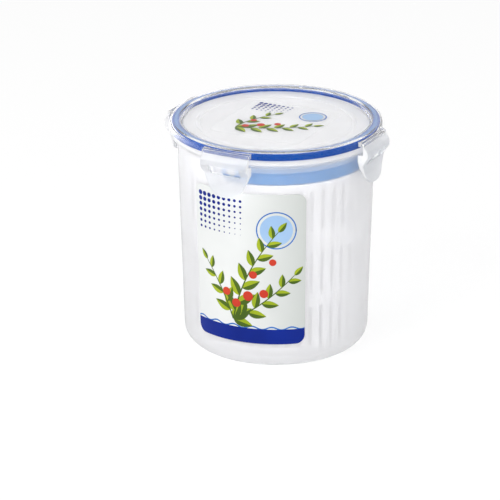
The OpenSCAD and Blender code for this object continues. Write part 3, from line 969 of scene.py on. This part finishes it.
# %% The tree that grows a sprig
def make_sprig_tree():
    tree, given = new_tree("sprig", {
        "Stem": ("Object", None), "Leaf": ("Object", None), "Leaves": ("Int", 9), "Lean": ("Float", 0.7),
        "Base Scale": ("Float", 1.0), "Tip Scale": ("Float", 0.6), "Finish": ("Material", None),
    })
    stem = object_shape(tree, given["Stem"])
    leaf = object_shape(tree, given["Leaf"])
    line = add_node(tree, "GeometryNodeMeshToCurve", {0: stem}).outputs[0]
    spacing = {"Curve": line, "Count": given["Leaves"]}
    spaced = add_node(tree, "GeometryNodeResampleCurve", spacing).outputs[0]
    index = point_number(tree)
    along = calculate(tree, "DIVIDE", index, calculate(tree, "SUBTRACT", given["Leaves"], 1))
    tangent = parts_of(tree, add_node(tree, "GeometryNodeInputTangent").outputs[0])
    heading = calculate(tree, "ARCTAN2", tangent[1], tangent[0])
    odd = calculate(tree, "MODULO", index, 2)
    side = calculate(tree, "SUBTRACT", calculate(tree, "MULTIPLY", odd, 2), 1)
    at_tip = calculate(tree, "GREATER_THAN", along, 0.99)
    lean = calculate(tree, "MULTIPLY", side, given["Lean"])
    lean = calculate(tree, "MULTIPLY", lean, calculate(tree, "SUBTRACT", 1, at_tip))
    turn = calculate(tree, "ADD", heading, lean)
    spin = add_node(tree, "ShaderNodeCombineXYZ", {2: turn}).outputs[0]
    shrink = map_range(tree, along, 0.0, 1.0, given["Base Scale"], given["Tip Scale"])
    row = {"Points": spaced, "Instance": leaf, "Rotation": spin, "Scale": shrink}
    grown = add_node(tree, "GeometryNodeInstanceOnPoints", row).outputs[0]
    return finish_tree(tree, grown, given["Finish"])


SPRIG = make_sprig_tree()

# %% [markdown]
# The field of dots fades out towards one corner, like a halftone. Its tree puts a dot on each point of a
# grid and scales it by its distance from the opposite corner.

# %% The tree that spreads a field of dots
LAST_DOT = 0.12


def make_dot_tree():
    tree, given = new_tree("dot_field", {
        "Dot": ("Object", None), "Across": ("Int", 9), "Down": ("Int", 7), "Pitch": ("Float", 0.003),
        "Middle": ("Vector", None), "Finish": ("Material", None),
    })
    dot = object_shape(tree, given["Dot"])
    wide = calculate(tree, "MULTIPLY", calculate(tree, "SUBTRACT", given["Across"], 1), given["Pitch"])
    tall = calculate(tree, "MULTIPLY", calculate(tree, "SUBTRACT", given["Down"], 1), given["Pitch"])
    field = add_node(tree, "GeometryNodeMeshGrid", {
        "Size X": wide, "Size Y": tall, "Vertices X": given["Across"], "Vertices Y": given["Down"],
    }).outputs[0]
    place = parts_of(tree, point_place(tree))
    right = calculate(tree, "ADD", calculate(tree, "DIVIDE", place[0], wide), 0.5)
    below = calculate(tree, "SUBTRACT", 0.5, calculate(tree, "DIVIDE", place[1], tall))
    fade = map_range(tree, calculate(tree, "ADD", right, below), 0.0, 2.0, 1.0, LAST_DOT)
    row = {"Points": field, "Instance": dot, "Scale": fade}
    spread = add_node(tree, "GeometryNodeInstanceOnPoints", row).outputs[0]
    shift = {"Geometry": spread, "Translation": given["Middle"]}
    placed = add_node(tree, "GeometryNodeTransform", shift).outputs[0]
    return finish_tree(tree, placed, given["Finish"])


DOT_FIELD = make_dot_tree()

# %% [markdown]
# Everything drawn flat for the tub is then bent round its wall. One tree does it for the film and for
# each ink: the drawing's x becomes an angle, its y becomes the height, and the wall's draft gives the
# radius.

# %% The tree that bends a drawing round the tub
def make_wrap_tree():
    tree, given = new_tree("bend_round_tub", {
        "Drawing": ("Geometry", None), "Radius At Table": ("Float", 0.05),
        "Middle Radius": ("Float", 0.05), "Widening": ("Float", 0.03), "Turn": ("Float", 0.0),
        "Lift": ("Float", 0.0), "Finish": ("Material", None),
    })
    flat = parts_of(tree, point_place(tree))
    angle = calculate(tree, "DIVIDE", flat[0], given["Middle Radius"])
    angle = calculate(tree, "ADD", angle, given["Turn"])
    radius = calculate(tree, "MULTIPLY", flat[1], given["Widening"])
    radius = calculate(tree, "ADD", radius, given["Radius At Table"])
    radius = calculate(tree, "ADD", radius, given["Lift"])
    bend = {"Geometry": given["Drawing"], "Position": round_axis(tree, radius, angle, flat[1])}
    bent = add_node(tree, "GeometryNodeSetPosition", bend).outputs[0]
    return finish_tree(tree, bent, given["Finish"])


WRAP = make_wrap_tree()

# %% Lay a drawing on the tub or the lid
LABEL_TURN = math.radians(SIDES["front"] + 9)
LABEL_SWEEP = math.radians(71)
LABEL_MID_R = outer_r(60)


def thicken(piece, thickness):
    """Gives a layer its thickness, outwards from where it lies."""
    body = piece.modifiers.new("thickness", "SOLIDIFY")
    body.thickness = thickness * MM
    body.offset = 1.0
    settle(piece)
    face_outwards(piece)
    shade(piece)


def on_tub(piece, lift, thickness, finish):
    add_tree(piece, WRAP, {
        "Radius At Table": outer_r(0) * MM, "Middle Radius": LABEL_MID_R * MM,
        "Widening": math.tan(DRAFT), "Turn": LABEL_TURN, "Lift": lift * MM, "Finish": finish,
    })
    settle(piece)
    thicken(piece, thickness)


def on_lid(piece, lift, thickness, finish):
    piece.data.transform(Matrix.Translation((0, 0, (PANEL_Z + lift) * MM)))
    set_finishes(piece, finish)
    thicken(piece, thickness)


# %% Leaves and stems
LEAF_L = 10.0
LEAF_W = 2.3
LEAF_STEPS = 8
STEM_STEPS = 20
STEM_TAPER = 0.6


def half_leaf(name, side):
    """One half of a leaf along x, from its foot at the origin to its tip."""
    rib, edge = [], []
    for i in range(LEAF_STEPS + 1):
        share = i / LEAF_STEPS
        swell = math.sin(math.pi * share ** 0.8) ** 0.9
        rib.append((LEAF_L * share, 0.0))
        edge.append((LEAF_L * share, side * LEAF_W * swell))
    return drawing(name, [strip(rib, edge, 2)])


def bezier(start, handle, end):
    points = []
    for i in range(STEM_STEPS + 1):
        t = i / STEM_STEPS
        x = (1 - t) ** 2 * start[0] + 2 * t * (1 - t) * handle[0] + t ** 2 * end[0]
        y = (1 - t) ** 2 * start[1] + 2 * t * (1 - t) * handle[1] + t ** 2 * end[1]
        points.append((x, y))
    return points


def stem_strip(path, width):
    left, right = [], []
    for i, (x, y) in enumerate(path):
        ahead = Vector(path[min(i + 1, len(path) - 1)]) - Vector(path[max(i - 1, 0)])
        across = Vector((-ahead.y, ahead.x)).normalized() * width * (1 - STEM_TAPER * i / len(path))
        left.append((x - across.x, y - across.y))
        right.append((x + across.x, y + across.y))
    return strip(left, right, 1)


# %% Sprigs and dots
LEAF_LEAN = 0.75


def sprigs(name, stems, side, finish):
    """Grows one half of every leaf on every stem, and joins them to one flat drawing."""
    leaf = half_leaf(name + "_leaf", side)
    work = bmesh.new()
    for path, leaves, base, tip in stems:
        line = bpy.data.meshes.new("stem_line")
        pairs = [(i, i + 1) for i in range(len(path) - 1)]
        line.from_pydata([Vector((x, y, 0)) * MM for x, y in path], pairs, [])
        stem = new_object("stem_line", line)
        grown = new_object(name + "_grown", bpy.data.meshes.new(name))
        add_tree(grown, SPRIG, {
            "Stem": stem, "Leaf": leaf, "Leaves": leaves, "Lean": LEAF_LEAN,
            "Base Scale": base, "Tip Scale": tip, "Finish": finish,
        })
        settle(grown)
        work.from_mesh(grown.data)
        bpy.data.objects.remove(grown)
        bpy.data.objects.remove(stem)
    bpy.data.objects.remove(leaf)
    made = new_object(name, bpy.data.meshes.new(name))
    work.to_mesh(made.data)
    work.free()
    return made


def dots(name, across, down, pitch, radius, middle):
    dot = drawing("dot", [disc(0, 0, radius, rows=8)])
    field = new_object(name, bpy.data.meshes.new(name))
    add_tree(field, DOT_FIELD, {
        "Dot": dot, "Across": across, "Down": down, "Pitch": pitch * MM,
        "Middle": (middle[0] * MM, middle[1] * MM, 0), "Finish": navy_ink,
    })
    settle(field)
    bpy.data.objects.remove(dot)
    return field


# %% [markdown]
# Both labels carry the same kinds of motif, so one helper prints them. Where inks overlap, each has its
# own layer a little above the one below, or the two faces would fight for the same place.

# %% Print a label
FILM_GAP = 0.03
FILM_T = 0.15
INK_T = 0.02
INK_GAP = 0.005
LAYER_STEP = 0.025


def printed(label, motifs, stems, field, lay):
    """Draws every ink of a label, lays it as a thin layer and gives the pieces back."""
    inks = []
    for name, (strips, finish, layer) in motifs.items():
        inks.append((drawing(f"{label}_{name}", strips), finish, layer))
    inks.append((sprigs(label + "_bright_leaves", stems, 1, bright_leaf_ink), bright_leaf_ink, 1))
    inks.append((sprigs(label + "_deep_leaves", stems, -1, deep_leaf_ink), deep_leaf_ink, 1))
    inks.append((dots(label + "_dots", *field), navy_ink, 0))
    for piece, finish, layer in inks:
        lay(piece, FILM_GAP + FILM_T + INK_GAP + layer * LAYER_STEP, INK_T, finish)
    print(f"{label}: {len(inks)} inks")
    return [piece for piece, *_ in inks]


# %% The tub's label
LABEL_HALF = LABEL_MID_R * LABEL_SWEEP / 2
LABEL_LOW = 16.5
LABEL_HIGH = 106.0
LABEL_CORNER = 5.0
BAND_SHARE = 0.1
WAVE_L = 66.4
WAVE_Z = 25.6
WAVE_H = 0.8
WAVE_T = 0.9
WAVE_STEPS = 60
WAVE_TURN = 0.62
label_sheet = (LABEL_HALF, LABEL_LOW, LABEL_HIGH, LABEL_CORNER, 28)
tub_film = drawing("tub_label_film", [rounded_sheet(*label_sheet)])
on_tub(tub_film, FILM_GAP, FILM_T, paper_film)

tub_stems = [
    (bezier((-8, 30), (-2, 60), (18, 84)), 13, 1.35, 0.75),
    (bezier((-8, 30), (-14, 48), (-25, 62)), 8, 1.15, 0.7),
    (bezier((-8, 30), (8, 38), (27, 58)), 10, 1.2, 0.7),
]
tub_berries = [(-6, 40, 2.6), (1, 45, 2.9), (-12, 46, 2.4), (10, 47, 2.5), (4, 58, 2.3), (15, 66, 2.0)]
wave = []
for i in range(WAVE_STEPS + 1):
    wave.append((-LABEL_HALF + WAVE_L * i / WAVE_STEPS, WAVE_Z + WAVE_H * math.sin(i * WAVE_TURN)))
tub_prints = printed("tub_print", {
    "navy": ([rounded_sheet(*label_sheet, part=(0, BAND_SHARE))], navy_ink, 0),
    "wave": ([strip(wave, [(x, y + WAVE_T) for x, y in wave], 1)], mid_ink, 0),
    "disc": ([disc(17, 85, 9, rows=24)], pale_ink, 0),
    "ring": ([ring(17, 85, 10.4, 11.1)], mid_ink, 0),
    "stems": ([stem_strip(path, 0.45) for path, *_ in tub_stems], deep_leaf_ink, 2),
    "berries": ([disc(x, y, r) for x, y, r in tub_berries], berry_ink, 3),
}, tub_stems, (9, 7, 3.3, 1.45, (-16, 91)), on_tub)

# %% The lid's label
LID_FILM_W = 28.0
LID_FILM_L = 29.53
lid_sheet = (LID_FILM_W, -LID_FILM_L, LID_FILM_L, LABEL_CORNER, 4)
lid_film = drawing("lid_label_film", [rounded_sheet(*lid_sheet)])
on_lid(lid_film, FILM_GAP, FILM_T, clear_film)

lid_stems = [
    (bezier((-16, -18), (0, -16), (22, 2)), 11, 1.05, 0.65),
    (bezier((-16, -18), (-16, -4), (-6, 10)), 7, 0.95, 0.6),
]
lid_berries = [(-12, -14, 2.1), (-5, -9, 2.3), (3, -4, 1.9), (-12, -4, 1.8)]
lid_prints = printed("lid_print", {
    "stems": ([stem_strip(path, 0.4) for path, *_ in lid_stems], deep_leaf_ink, 2),
    "berries": ([disc(x, y, r) for x, y, r in lid_berries], berry_ink, 3),
    "disc": ([disc(15, 16, 6, rows=24)], pale_ink, 0),
    "ring": ([ring(15, 16, 7.2, 7.8)], mid_ink, 0),
}, lid_stems, (8, 5, 2.8, 1.2, (-12, 19)), on_lid)

# %% [markdown]
# ## Light, floor and camera
#
# A pale product shot needs soft light from every side and one gentle key. The floor is white to the
# camera, and keeps only part of its light as a shaded surface, so that the object's soft shadow stays. In
# a studio, a bright card beside a glossy rim draws a light line along it. Here the floor does it: to one
# side it glows brighter, for mirrored rays alone.

# %% Floor
CARD_FROM = -0.42
CARD_TO = -0.28
CARD_GLOW = 2.2
FLOOR_GLOW = 0.78
FLOOR_SHADED = 0.26
FLOOR_PAPER = 0.85
FLOOR_LIT = 0.2
TABLE_HALF = 3000
TABLE_Z = -0.2


def seen_directly(tree):
    """1 for rays from the camera and for mirrored or refracted ones, 0 for scattered light."""
    path = add_node(tree, "ShaderNodeLightPath").outputs
    first = calculate(tree, "MAXIMUM", path["Is Camera Ray"], path["Is Glossy Ray"])
    return calculate(tree, "MAXIMUM", first, path["Is Transmission Ray"])


def matt_and_glow(tree, level, strength):
    """A matt grey of one level, with a white glow on top."""
    matt = add_node(tree, "ShaderNodeBsdfDiffuse", {"Color": (level, level, level, 1)}).outputs[0]
    glow = add_node(tree, "ShaderNodeEmission", {"Strength": strength}).outputs[0]
    return add_node(tree, "ShaderNodeAddShader", {0: glow, 1: matt}).outputs[0]


floor_paint = bpy.data.materials.new("pale_floor")
floor_paint.use_nodes = True
tree = floor_paint.node_tree
tree.nodes.remove(tree.nodes["Principled BSDF"])
card = map_range(tree, parts_of(tree, place_on_piece(tree))["X"], CARD_FROM, CARD_TO, CARD_GLOW, 0.0)
mirrored = add_node(tree, "ShaderNodeLightPath").outputs["Is Glossy Ray"]
glow = calculate(tree, "ADD", calculate(tree, "MULTIPLY", card, mirrored), FLOOR_GLOW)
white = matt_and_glow(tree, FLOOR_SHADED, glow)
paper = matt_and_glow(tree, FLOOR_PAPER, FLOOR_LIT)
choice = add_node(tree, "ShaderNodeMixShader", {0: seen_directly(tree), 1: paper, 2: white})
tree.links.new(choice.outputs[0], tree.nodes["Material Output"].inputs["Surface"])

corners = [(-1, -1), (1, -1), (1, 1), (-1, 1)]
corners = [(x * TABLE_HALF, y * TABLE_HALF, TABLE_Z) for x, y in corners]
floor = new_object("floor", mesh_from("floor", corners, [(0, 1, 2, 3)]))
floor.data.materials.append(floor_paint)
print("floor:", floor_paint.name)

# %% World and lamps
ROOM_LIGHT = 0.55
MIDDLE = Vector((0, 0, TOP_Z / 2 * MM))
world = bpy.data.worlds.new("soft_room")
scene.world = world
world.use_nodes = True
tree = world.node_tree
room = tree.nodes["Background"]
room.inputs["Color"].default_value = (1, 1, 1, 1)
tree.links.new(map_range(tree, seen_directly(tree), 0.0, 1.0, ROOM_LIGHT, 1.0), room.inputs["Strength"])


def lamp(name, place, size, power):
    light = bpy.data.lights.new(name, "AREA")
    light.size = size
    light.energy = power
    made = new_object(name, light)
    made.location = place
    made.rotation_euler = (MIDDLE - Vector(place)).to_track_quat("-Z", "Y").to_euler()
    print("lamp:", name, power, "W")


lamp("key", (-0.26, -0.95, 0.85), 0.6, 5.6)
lamp("fill", (0.9, -0.5, 0.5), 0.7, 2.5)
lamp("top", (0.0, 0.2, 1.1), 0.7, 1.7)

# %% Camera
AZIMUTH = math.radians(27)
ELEVATION = math.radians(21.3)
DISTANCE = 1.7
camera_data = bpy.data.cameras.new("camera")
camera_data.sensor_width = 36
camera_data.lens = 216.3
camera_data.shift_x = -0.0522
camera_data.shift_y = -0.046
camera = new_object("camera", camera_data)
away = Vector((
    math.cos(ELEVATION) * math.sin(AZIMUTH),
    -math.cos(ELEVATION) * math.cos(AZIMUTH),
    math.sin(ELEVATION),
))
camera.location = MIDDLE + away * DISTANCE
camera.rotation_euler = (-away).to_track_quat("-Z", "Y").to_euler()
scene.camera = camera
print("camera:", camera_data.lens, "mm lens at", DISTANCE, "m")

# %% [markdown]
# ## Hand the pieces to the frame
#
# Every piece rides on a body, so that it moves when the joints move. Each moulded piece and each film
# also stands for a CAD node, which it hides. The inks only ride along with their film.

# %% Ride and replace
def stands_for(piece, body, node):
    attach(piece, body)
    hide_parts(node)


stands_for(tub, "container", "container")
stands_for(basket, "tray", "tray")
stands_for(handle, "tray_handle", "tray_handle")
stands_for(lid, "lid", "lid")
stands_for(seal, "lid", "lid_seal")
for side, latch in latches.items():
    stands_for(latch, "latch_" + side, "latch_" + side)
stands_for(tub_film, "container", "container_label")
stands_for(lid_film, "lid", "lid_label")
for prints, body in ((tub_prints, "container"), (lid_prints, "lid")):
    for piece in prints:
        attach(piece, body)
